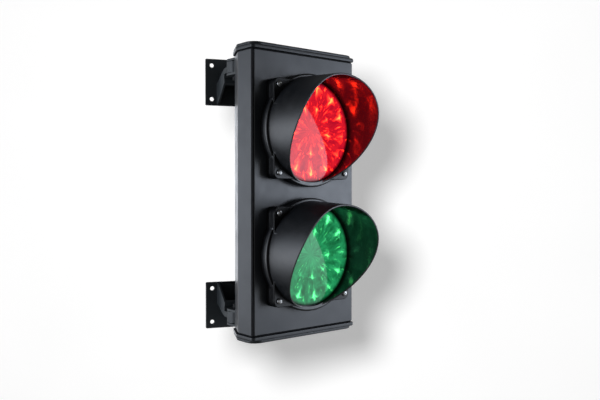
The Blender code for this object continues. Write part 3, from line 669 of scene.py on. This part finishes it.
def build_cover():
    """The front cover with its folded edges, hinge bosses, catch fingers and lamp openings."""
    section = rounded(
        [
            (COVER_LEFT, 0.0, 0.8), (HALF_WIDTH, 0.0, 2.4), (HALF_WIDTH, HINGE[1], 0),
            (HALF_WIDTH - 2.2, HINGE[1], 0), (HALF_WIDTH - 2.2, COVER_WALL, 0), (78.2, COVER_WALL, 0),
            (78.2, 9.0, 0), (76.7, 9.0, 0), (76.7, COVER_WALL, 0), (COVER_LEFT + 2.0, COVER_WALL, 0),
            (COVER_LEFT + 2.0, 9.5, 0), (COVER_LEFT, 9.5, 0),
        ]
    )
    cover = prism("front_panel", section, -COVER_HALF, COVER_HALF)
    added, removed = [], []
    for sign in (1, -1):
        low, high = sorted((sign * (COVER_HALF - 14), sign * (COVER_HALF - 0.05)))
        added.append(rod(f"hinge_boss_{sign}", 3.0, HINGE, low, high, count=32))
        added.append(box(f"hinge_web_{sign}", (77.2, 1.6, low + 0.1), (81.6, 5.6, high - 0.1)))
        low, high = sorted((sign * (COVER_HALF - 9.6), sign * (COVER_HALF + 5)))
        removed.append(rod(f"hinge_bore_{sign}", PIN_BORE, HINGE, low, high, count=24))
        low, high = sorted((sign * 153.0, sign * 163.0))
        added.append(box(f"finger_{sign}", (-75.2, 1.6, low), (-73.2, 19.0, high)))
    for colour, middle in LAMPS:
        removed.append(rod(f"hole_{colour}", OPENING_RADIUS, (0, middle), -5, 8, "Y", 96))
        for x in (-LUG, LUG):
            for z in (-LUG, LUG):
                removed.append(rod(f"bore_{colour}_{x}_{z}", VISOR_SCREW_BORE, (x, middle + z), -5, 8, "Y", 20))
    join(cover, *added)
    cut(cover, *removed)
    place_piece(cover, "cover", ["front_cover"], PAINT, 0.2)


def lobed_reach(radius, half, corner, count):
    """A circle joined with a round-cornered square, as one radius for each turn."""
    reaches = []
    for i in range(count):
        t = 2 * math.pi * i / count
        c, s = abs(math.cos(t)), abs(math.sin(t))
        reach = half / max(c, s)
        inner = half - corner
        if reach * min(c, s) > inner:
            b = inner * (c + s)
            reach = b + math.sqrt(max(0.0, b * b - 2 * inner * inner + corner * corner))
        reaches.append(max(radius, reach))
    return reaches


def lobed(radius, half, corner, middle, count=168):
    """The same shape as an outline round a lamp's middle."""
    reaches = lobed_reach(radius, half, corner, count)
    turns = [2 * math.pi * i / count for i in range(count)]
    return [(r * math.cos(t), middle + r * math.sin(t)) for r, t in zip(reaches, turns)]


def rim_depth(s):
    """How far the visor reaches in front of the cover; s is +1 at the top and -1 at the bottom."""
    return 61.8 + 35.4 * s - 19.2 * s * s - 3.5 * s**3


def tube_radius(depth):
    """The tube's outer radius, which narrows a little towards the rim."""
    return 68.7 - 0.055 * depth


def visor_tube(name, middle, count=144):
    """The cut-away tube, with rounded rim edges."""
    points = []
    loops = 0
    for i in range(count):
        t = 2 * math.pi * i / count
        depth = rim_depth(math.sin(t))
        steps = [TUBE_ROOT + (depth - TUBE_RIM - TUBE_ROOT) * k / 4 for k in range(5)]
        ring = [(0.0, step) for step in steps]
        ring += [(0.15, depth - 0.25), (0.5, depth), (TUBE_WALL - 0.5, depth), (TUBE_WALL - 0.15, depth - 0.25)]
        ring += [(TUBE_WALL, step) for step in reversed(steps)]
        loops = len(ring)
        for step, reach in ring:
            radius = tube_radius(reach) - step
            points.append((radius * math.cos(t), -reach, middle + radius * math.sin(t)))
    faces = []
    for i in range(count):
        j = (i + 1) % count
        for k in range(loops):
            n = (k + 1) % loops
            faces.append((loops * i + k, loops * j + k, loops * j + n, loops * i + n))
    return mesh_object(name, points, faces)


def build_visor(colour, middle, bores):
    """The visor in one moulding: flange with a rounded bead, four lugs and the cut-away tube."""
    centre = (0.0, middle)
    levels = [(0.5, -7.5), (0.5, -11.0), (0.15, -11.7), (-0.35, -12.3), (-1.0, -12.65), (-1.8, -12.7)]
    sections = []
    for grow, y in levels:
        lug_half = LUG_HALF + min(0.0, grow - 0.5)
        sections.append((lobed(BEZEL_RADIUS + grow, lug_half, LOBE_CORNER, middle), y))
    visor = stack(f"visor_hood_{colour}", sections, "Y")
    square = [(a * LUG_HALF, b * LUG_HALF, LOBE_CORNER) for a, b in ((1, -1), (1, 1), (-1, 1), (-1, -1))]
    square = [(a, b + middle) for a, b in inset(rounded(square), 0.2)]
    sections = [(square, -9.0), (square, -14.3), (inset(square, 0.3), -14.8), (inset(square, 0.9), -15.0)]
    lugs = stack(f"lugs_{colour}", sections, "Y")
    cut(lugs, rod(f"lug_trim_{colour}", LUG_TRIM, centre, -25, 5, "Y", 144))
    join(visor, lugs)
    cut(visor, rod(f"visor_bore_{colour}", VISOR_BORE, centre, -25, 5, "Y", 144))
    join(visor, visor_tube(f"visor_tube_{colour}", middle))
    cut(visor, *bores)
    # The fourth material is painted shade: the bezel's near-black plastic put on the flange's face and lugs
    obj = place_piece(visor, "cover", [f"visor_{colour}"],
                      [VISOR_PLASTIC, VISOR_INSIDE, VISOR_EDGE, BEZEL_PLASTIC_AND_FLANGE_SHADE], 0.0)
    axis = (SHIFT + Vector((0.0, 0.0, middle))) * MM
    for polygon in obj.data.polygons:
        spot = (polygon.center - axis) / MM
        radius = math.hypot(spot.x, spot.z)
        outward = (polygon.normal.x * spot.x + polygon.normal.z * spot.z) / radius
        depth = -spot.y
        if depth < FLANGE_FACE and radius > tube_radius(depth) + 0.2:
            # Painted shade: the flange's front face and its lugs stand in the visor tube's shadow, so they get the
            # bezel's near-black plastic instead of the visor's own
            if polygon.normal.y < -0.8 or min(abs(spot.x), abs(spot.z)) > LUG_ZONE:
                polygon.material_index = 3
            continue
        if outward < -0.5 and radius < tube_radius(depth) - TUBE_WALL + 0.6:
            polygon.material_index = 1
        elif depth > FLANGE_FACE and depth > rim_depth(spot.z / radius) - 0.6 and polygon.normal.y < -0.2:
            polygon.material_index = 2


def build_lamp(colour, middle):
    """Bezel, lens, visor, reflector can and the four screws of one lamp."""
    centre = (0.0, middle)
    places = [("tl", -1, 1), ("tr", 1, 1), ("bl", -1, -1), ("br", 1, -1)]
    spots = {corner: (x * LUG, middle + z * LUG) for corner, x, z in places}

    def bores():
        return [rod(f"bore_{corner}", VISOR_SCREW_BORE, spot, -25, 12, "Y", 24) for corner, spot in spots.items()]

    levels = [(0.0, -0.3), (0.0, -6.3), (0.3, -6.9), (0.9, -7.2)]
    sections = [(lobed(BEZEL_RADIUS - step, LUG_HALF - step, LOBE_CORNER, middle), y) for step, y in levels]
    bezel = stack(f"bezel_ring_{colour}", sections, "Y")
    cut(bezel, rod(f"seat_{colour}", LENS_RADIUS + 0.4, centre, -12, -2.2, "Y", 96))
    cut(bezel, rod(f"bezel_bore_{colour}", 58.0, centre, -5, 5, "Y", 96), *bores())
    place_piece(bezel, "cover", [f"bezel_{colour}"], BEZEL_PLASTIC_AND_FLANGE_SHADE, 0.0)

    profile = [(57.5, -4.2), (LENS_RADIUS, -4.2), (LENS_RADIUS, -7.4), (LENS_BRIM, -7.4), (LENS_BRIM, -8.9)]
    profile += [(LENS_BRIM - 0.3, -9.2)]
    rings = (63.6, 60.0, 54.0, 46.0, 38.0, 30.0, 22.0, 14.0, 6.0)
    profile += [(radius, -11.0 + 1.7 * (radius / LENS_BRIM) ** 2) for radius in rings]
    profile += [(0.0, -11.0), (0.0, -9.0), (20.0, -8.8), (44.0, -7.6)]
    dome = turned(f"lens_dome_{colour}", profile, centre, count=128)
    place_piece(dome, "cover", [f"lens_{colour}"], LENS[colour], 0.0)

    build_visor(colour, middle, bores())

    flange = lobed_reach(BEZEL_RADIUS - 0.5, LUG_HALF - 0.5, LOBE_CORNER, 120)
    cup = [(flange, 2.7), (flange, 4.6), ([r - 0.3 for r in flange], 4.9), (59.5, 4.9), (58.8, 5.6)]
    cup += [(55.9, 29.4), (54.4, 30.8), (53.4, 31.0), (0, 31.0), (0, 29.2), (53.8, 29.2), (57.0, 2.7)]
    can = turned(f"lamp_can_{colour}", cup, centre, count=120)
    wire = prism(f"can_wire_{colour}", circle(3.0, (5.1, middle - 31.7), 32), 20, 40, "Y")
    cut(can, wire, *bores())
    place_piece(can, "cover", [f"lamp_housing_{colour}"], WHITE_PLASTIC, 0.0)

    for k, (corner, spot) in enumerate(spots.items()):
        profile = [
            (0.0, 9.5), (1.5, 9.5), (1.8, 9.1), (1.8, -15.3), (3.3, -15.3), (3.6, -15.5), (3.6, -16.2),
            (3.45, -16.7), (3.05, -17.2), (2.3, -17.6), (1.2, -17.83), (0.0, -17.9),
        ]
        screw = turned(f"pan_screw_{colour}_{corner}", profile, spot, "Y", 36)
        cross_recess(screw, spot, -18.2, -16.6, "Y", 0.4 + 0.7 * k)
        place_piece(screw, "cover", [f"visor_screw_{colour}_{corner}"], STEEL, 0.0)


# ---------------------------------------------------------------- brackets, lugs and gland


def strut(name, sign, edge, drop, trim, place):
    """A solid between two side outlines of (distance from the pan axis, height), wider at the wall."""
    points = []
    for distance, height in edge:
        share = min(1.0, max(0.0, distance / ARM))
        half = ARM_HALF[0] + (ARM_HALF[1] - ARM_HALF[0]) * share - trim
        for x in (-half, half):
            points.append((x, distance, sign * (height + drop * share)))
    count = len(edge)
    faces = [tuple(2 * i for i in range(count)), tuple(2 * i + 1 for i in range(count))]
    for i in range(count):
        j = (i + 1) % count
        faces.append((2 * i, 2 * j, 2 * j + 1, 2 * i + 1))
    return mesh_object(name, points, faces, place)


def build_bracket(side):
    """A wall bracket in one casting: plate, hollow arm and pivot eye."""
    sign = UP[side]
    place = Matrix.Translation((PAN[0], PAN[1], 0)) @ Matrix.Rotation(-SWIVEL, 4, "Z")
    middle = PLATE_MIDDLE[side]
    half = PLATE / 2
    low, high = sorted((sign * (middle - half), sign * (middle + half)))
    face = rounded([(half, low, 1.5), (half, high, 1.5), (-half, high, 1.5), (-half, low, 1.5)])
    bracket = prism(f"bracket_casting_{side}", face, ARM, ARM + PLATE_WALL, "Y", place)
    eye_low, eye_high = sorted((sign * (COLUMN[0] + EAR + 0.3), sign * (COLUMN[1] - EAR - 0.3)))
    join(bracket, rod(f"eye_{side}", BOSS_RADIUS, (0, 0), eye_low, eye_high, count=64, place=place))
    drop = middle - PLATE_MIDDLE["upper"]
    edge = [(ARM + 1.0, 119.4), (ARM - 5.0, 122.0), (13.0, 145.5), (13.0, 150.6), (14.2, 152.4)]
    edge += [(13.8, 157.0), (3.0, 157.5)]
    edge += [(3.0, 165.0), (14.0, 164.4), (22.0, 161.2), (30.0, 157.0), (38.0, 152.6), (ARM + 1.0, 148.6)]
    join(bracket, strut(f"arm_{side}", sign, edge, drop, 0.0, place))
    edge = [(ARM - 0.6, 112.0), (16.0, 116.0), (16.0, 160.0), (21.0, 158.4), (29.0, 154.2), (37.0, 149.8)]
    edge += [(ARM - 0.6, 145.6)]
    cutters = [strut(f"pocket_{side}", sign, edge, drop, 2.7, place)]
    cutters.append(rod(f"arm_bore_{side}", PIVOT_BORE, (0, 0), eye_low - 5, eye_high + 5, count=32, place=place))
    for x in (-1, 1):
        for z in (-1, 1):
            spot = (x * (half - PLATE_INSET), sign * middle + z * (half - PLATE_INSET))
            cutters.append(rod(f"hole_{x}_{z}", PLATE_HOLE / 2, spot, ARM - 5, ARM + 9, "Y", 40, place))
    cut(bracket, *cutters)
    place_piece(bracket, "wall_mount", [f"wall_bracket_{side}"], BLACK_PAINT, 0.35, 30.0)


def build_lug(side):
    """A forked lug on the housing's back, with its screws, pivot bolt and nut."""
    sign = UP[side]
    low, high = sorted((sign * COLUMN[0], sign * COLUMN[1]))
    left = PAN[0] - BOSS_RADIUS
    lug = box(f"fork_lug_{side}", (left, DEPTH + 0.3, low), (-14.0, DEPTH + 3.3, high))
    for end in (0, 1):
        ear_low = low if end == 0 else high - EAR
        ear = [(left, DEPTH + 1.0), (PAN[0] + BOSS_RADIUS, DEPTH + 1.0)]
        ear += [
            (PAN[0] + BOSS_RADIUS * math.cos(t), PAN[1] + BOSS_RADIUS * math.sin(t))
            for t in [math.pi * i / 36 for i in range(37)]
        ]
        join(lug, prism(f"ear_{end}", ear, ear_low + (0.01 if end else 0), ear_low + EAR - (0 if end else 0.01)))
    cutters = [rod(f"lug_bore_{side}", PIVOT_BORE, PAN, low - 5, high + 5, count=32)]
    for x in LUG_SCREWS:
        cutters.append(rod(f"screw_bore_{x}", LUG_SCREW_BORE, (x, sign * LUG_SCREW_Z), DEPTH - 5, DEPTH + 9, "Y", 24))
    cut(lug, *cutters)
    place_piece(lug, "head", [f"head_lug_{side}"], BLACK_PAINT, 0.3)
    for i, x in enumerate(LUG_SCREWS):
        spot = (x, sign * LUG_SCREW_Z)
        profile = [
            (0.0, DEPTH + 6.1), (1.4, DEPTH + 6.05), (2.4, DEPTH + 5.85), (3.2, DEPTH + 5.4),
            (3.6, DEPTH + 4.8), (3.7, DEPTH + 4.3), (3.7, DEPTH + 3.6), (1.9, DEPTH + 3.6),
            (1.9, DEPTH - 5.6), (1.5, DEPTH - 6.0), (0.0, DEPTH - 6.0),
        ]
        screw = turned(f"lug_pan_screw_{side}_{i + 1}", profile, spot, "Y", 36)
        cross_recess(screw, spot, DEPTH + 6.4, DEPTH + 4.8, "Y", 0.3 + i)
        place_piece(screw, "head", [f"lug_screw_{side}_{i + 1}"], STEEL, 0.0)
    top = COLUMN[1]
    profile = [
        (0.0, top + 2.6), (3.4, top + 2.5), (4.9, top + 2.1), (5.8, top + 1.4), (6.2, top + 0.8),
        (6.2, top + 0.3), (3.0, top + 0.3), (3.0, COLUMN[0] - 6.2), (2.6, COLUMN[0] - 6.6),
        (0.0, COLUMN[0] - 6.6),
    ]
    bolt = turned(f"button_bolt_{side}", [(r, sign * h) for r, h in profile], PAN, "Z", 48)
    key_low, key_high = sorted((sign * (top + 1.0), sign * (top + 5)))
    cut(bolt, prism(f"key_{side}", circle(2.2, PAN, 6), key_low, key_high))
    place_piece(bolt, "head", [f"pivot_bolt_{side}"], DARK_STEEL, 0.0)
    nut_low, nut_high = sorted((sign * (COLUMN[0] - 5.8), sign * (COLUMN[0] - 0.3)))
    nut = prism(f"hex_nut_{side}", circle(5.6, PAN, 6, 0.2), nut_low, nut_high)
    cut(nut, rod(f"nut_bore_{side}", 3.25, PAN, nut_low - 5, nut_high + 5, count=32))
    place_piece(nut, "head", [f"pivot_nut_{side}"], DARK_STEEL, 0.3)


def build_gland():
    """The cable gland: hexagon body and ribbed dome nut."""
    hexagon = prism("gland_body", circle(11.0, GLAND, 6), DEPTH + 0.3, DEPTH + 5.5, "Y")
    profile = [(7.9, DEPTH - 11), (7.9, DEPTH + 4), (10.2, DEPTH + 4), (10.2, DEPTH + 13)]
    profile += [(10.0, DEPTH + 14.2), (9.4, DEPTH + 15.6), (8.6, DEPTH + 16.6), (7.9, DEPTH + 17)]
    profile += [(4.2, DEPTH + 17), (4.2, DEPTH - 11)]
    join(hexagon, turned("gland_dome", profile, GLAND, count=72))
    cut(hexagon, rod("gland_bore", 4.2, GLAND, DEPTH - 20, DEPTH + 25, "Y", 48))
    grips = []
    for i in range(18):
        t = 2 * math.pi * i / 18
        spot = (GLAND[0] + 10.55 * math.cos(t), GLAND[1] + 10.55 * math.sin(t))
        grips.append(rod(f"grip_{i}", 0.75, spot, DEPTH + 6.4, DEPTH + 20, "Y", 12))
    cut(hexagon, *grips)
    place_piece(hexagon, "head", ["cable_gland"], GLAND_PLASTIC, 0.2)


build_housing()
build_cap("top", 1)
build_cap("bottom", -1)
build_cover()
for lamp_colour, lamp_middle in LAMPS:
    build_lamp(lamp_colour, lamp_middle)
for bracket_side in ("upper", "lower"):
    build_bracket(bracket_side)
    build_lug(bracket_side)
build_gland()

# CAD nodes whose shape stays
KEPT = (
    (RUBBER, ("cover_seal", "gasket_top", "gasket_bottom", "lens_seal_red", "lens_seal_green")),
    (STEEL, ("hinge_pin_top", "hinge_pin_bottom", "cover_catch_upper", "cover_catch_lower")),
    (BOARD, ("control_board", "led_board_red", "led_board_green")),
    (BEZEL_PLASTIC_AND_FLANGE_SHADE, ("board_tray",)),
    (TERMINAL_PLASTIC, ("terminal_block",)),
    (GLAND_PLASTIC, ("gland_nut",)),
)
for look, nodes in KEPT:
    for node in nodes:
        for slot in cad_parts[node].material_slots:
            slot.material = look


# ---------------------------------------------------------------- stage, light and camera

# The camera looks along ALONG; HEAD is the middle of the head and the lights' target
VIEW = math.radians(39.355)
CAMERA_DROP = math.radians(0.88)
FOCAL_LENGTH = 42.82
ALONG = Vector((math.sin(VIEW), math.cos(VIEW), 0.0))
ACROSS = Vector((math.cos(VIEW), -math.sin(VIEW), 0.0))
HEAD = (SHIFT + Vector((0.0, 30.0, 0.0))) * MM
CAMERA = Vector((-0.54988, -0.82771, -0.14613))

camera = bpy.data.objects.new("camera", bpy.data.cameras.new("camera"))
camera.data.sensor_width = 36.0
camera.data.lens = FOCAL_LENGTH
camera.location = CAMERA
camera.rotation_euler = (math.pi / 2 - CAMERA_DROP, 0.0, -VIEW)
camera.data.clip_start = 0.01
camera.data.clip_end = 100.0
bpy.context.scene.collection.objects.link(camera)
bpy.context.scene.camera = camera
bpy.context.scene.view_settings.view_transform = "Standard"

# A pale floor that sweeps up into a wall well behind the head
WALL_AT = 1.25
FLOOR = -1.10
BEND = 0.28
BEND_STEPS = 12
profile = [(-7.0, FLOOR), (-3.0, FLOOR)]
for step in range(BEND_STEPS + 1):
    turn = math.pi / 2 * step / BEND_STEPS
    profile.append((WALL_AT - BEND + BEND * math.sin(turn), FLOOR + BEND - BEND * math.cos(turn)))
profile.append((WALL_AT, 3.0))
points = []
for reach, height in profile:
    for side in (-4.0, 4.0):
        spot = Vector((HEAD.x, HEAD.y, 0.0)) + ALONG * reach + ACROSS * side
        points.append((spot.x, spot.y, height))
faces = [(2 * i, 2 * i + 1, 2 * i + 3, 2 * i + 2) for i in range(len(profile) - 1)]
sweep_mesh = bpy.data.meshes.new("floor_sweep")
sweep_mesh.from_pydata(points, [], faces)
sweep = bpy.data.objects.new("floor_sweep", sweep_mesh)
bpy.context.scene.collection.objects.link(sweep)
for polygon in sweep_mesh.polygons:
    polygon.use_smooth = True
paper = Look("pale_floor", Roughness=0.9, Specular_IOR_Level=0.0)
tone = paper.ramp(paper.noise(400.0, 2.0), (0.3, 0.79), (0.7, 0.81))
sweep_mesh.materials.append(
    paper.finish(Base_Color=tone, Emission_Color=(1.0, 1.0, 1.0), Emission_Strength=0.28))
sweep.visible_glossy = False
sweep.visible_diffuse = False
sweep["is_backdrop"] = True


def collection_of(name, objects):
    made = bpy.data.collections.new(name)
    for obj in objects:
        made.objects.link(obj)
    return made


def grey_ramp(tree, source, stops):
    """A soft ramp of (position, brightness) stops, and its output."""
    made = tree.nodes.new("ShaderNodeValToRGB")
    made.color_ramp.interpolation = "EASE"
    elements = made.color_ramp.elements
    while len(elements) < len(stops):
        elements.new(0.5)
    for element, (position, value) in zip(elements, stops):
        element.position = position
        element.color = (value, value, value, 1.0)
    tree.links.new(source, made.inputs[0])
    return made.outputs[0]


ON_HEAD = collection_of("lit_by_softboxes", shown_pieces())
ON_SWEEP = collection_of("lit_by_wall_light", [sweep])


def softbox(name, azimuth, elevation, distance, width, height, radiance, colour, profile):
    """A rectangular light that faces the head. Azimuth runs from +X towards +Y, profile from its foot up."""
    a, e = math.radians(azimuth), math.radians(elevation)
    towards = Vector((math.cos(a) * math.cos(e), math.sin(a) * math.cos(e), math.sin(e)))
    light = bpy.data.lights.new(name, "AREA")
    light.shape = "RECTANGLE"
    light.size = width
    light.size_y = height
    light.energy = radiance * math.pi * width * height
    light.color = colour
    obj = bpy.data.objects.new(name, light)
    obj.location = HEAD + towards * distance
    obj.rotation_euler = (-towards).to_track_quat("-Z", "Y").to_euler()
    obj.light_linking.receiver_collection = ON_HEAD
    obj.visible_camera = False
    light.use_nodes = True
    nodes, links = light.node_tree.nodes, light.node_tree.links
    split = nodes.new("ShaderNodeSeparateXYZ")
    links.new(nodes.new("ShaderNodeNewGeometry").outputs["Parametric"], split.inputs[0])
    links.new(grey_ramp(light.node_tree, split.outputs[1], profile), nodes["Emission"].inputs["Strength"])
    bpy.context.scene.collection.objects.link(obj)


COOL = (0.89, 1.0, 1.19)
MIDDLE_BRIGHT = [(0.0, 0.0), (0.12, 0.55), (0.34, 0.80), (0.5, 1.0), (0.66, 0.80), (0.88, 0.5), (1.0, 0.0)]
UNDER_DIM = [
    (0.0, 0.0), (0.10, 0.24), (0.40, 0.31), (0.52, 0.71), (0.62, 1.0), (0.74, 0.81), (0.90, 0.49), (1.0, 0.0)]
softbox("key_right_front", -40.0, -8.0, 1.30, 0.95, 1.50, 4.75, COOL, UNDER_DIM)
softbox("side_back_left", 126.0, 0.0, 1.30, 0.70, 1.20, 1.30, COOL, MIDDLE_BRIGHT)
softbox("left", 168.0, 0.0, 1.30, 0.45, 1.20, 6.0, COOL, MIDDLE_BRIGHT)
softbox("rim_back", 68.0, 0.0, 1.20, 0.50, 1.10, 1.28, COOL, MIDDLE_BRIGHT)

# Each lens lights only its own visor and bezel
for colour, _ in LAMPS:
    near = [f"visor_hood_{colour}", f"bezel_ring_{colour}", f"lens_dome_{colour}"]
    objects = [bpy.data.objects[name] for name in near]
    objects[2].light_linking.receiver_collection = collection_of(f"lit_by_{colour}", objects)

# A small light beside the camera throws the soft shadow on the wall
lamp = bpy.data.lights.new("wall_light", "POINT")
lamp.shadow_soft_size = 0.047
lamp.energy = 28.0
lamp.use_nodes = True
falloff = lamp.node_tree.nodes.new("ShaderNodeLightFalloff")
falloff.inputs["Strength"].default_value = 1.0
lamp.node_tree.links.new(falloff.outputs["Constant"], lamp.node_tree.nodes["Emission"].inputs["Strength"])
wall_light = bpy.data.objects.new("wall_light", lamp)
wall_light.location = CAMERA - ACROSS * 0.069 + Vector((0.0, 0.0, 0.061))
wall_light.light_linking.receiver_collection = ON_SWEEP
bpy.context.scene.collection.objects.link(wall_light)

# The room is white to the camera; the object sees it as bands of soft light
ROOM_STRENGTH = 2.4
world = bpy.data.worlds.new("studio")
world.use_nodes = True
bpy.context.scene.world = world
sky = world.node_tree
background = sky.nodes["Background"]
direction = sky.nodes.new("ShaderNodeTexCoord").outputs["Generated"]
height = sky.nodes.new("ShaderNodeSeparateXYZ")
sky.links.new(direction, height.inputs[0])
raise_up = sky.nodes.new("ShaderNodeMath")
raise_up.operation = "MULTIPLY_ADD"
raise_up.inputs[1].default_value = 0.5
raise_up.inputs[2].default_value = 0.5
sky.links.new(height.outputs[2], raise_up.inputs[0])

# Brightness of the room from its floor to its ceiling, and once round from -X
band = grey_ramp(sky, raise_up.outputs[0], [
    (0.0, 0.10), (0.30, 0.22), (0.45, 0.9), (0.54, 0.9), (0.62, 0.30), (0.72, 0.08), (1.0, 0.07)])
around = sky.nodes.new("ShaderNodeTexGradient")
around.gradient_type = "RADIAL"
sky.links.new(direction, around.inputs[0])
turn = grey_ramp(sky, around.outputs[1], [
    (0.0, 0.70), (0.056, 0.25), (0.14, 0.12), (0.25, 0.16), (0.31, 0.25), (0.375, 0.5), (0.5, 0.5),
    (0.625, 0.4), (0.69, 0.6), (0.75, 0.45), (0.847, 0.38), (0.944, 0.9), (1.0, 0.70)])
both = sky.nodes.new("ShaderNodeMix")
both.data_type = "RGBA"
both.blend_type = "MULTIPLY"
both.inputs[0].default_value = 1.0
sky.links.new(band, both.inputs[6])
sky.links.new(turn, both.inputs[7])
path = sky.nodes.new("ShaderNodeLightPath")
seen = sky.nodes.new("ShaderNodeMix")
seen.data_type = "RGBA"
sky.links.new(path.outputs["Is Camera Ray"], seen.inputs[0])
sky.links.new(both.outputs[2], seen.inputs[6])
seen.inputs[7].default_value = (1 / ROOM_STRENGTH, 1 / ROOM_STRENGTH, 1 / ROOM_STRENGTH, 1.0)
sky.links.new(seen.outputs[2], background.inputs["Color"])
background.inputs["Strength"].default_value = ROOM_STRENGTH
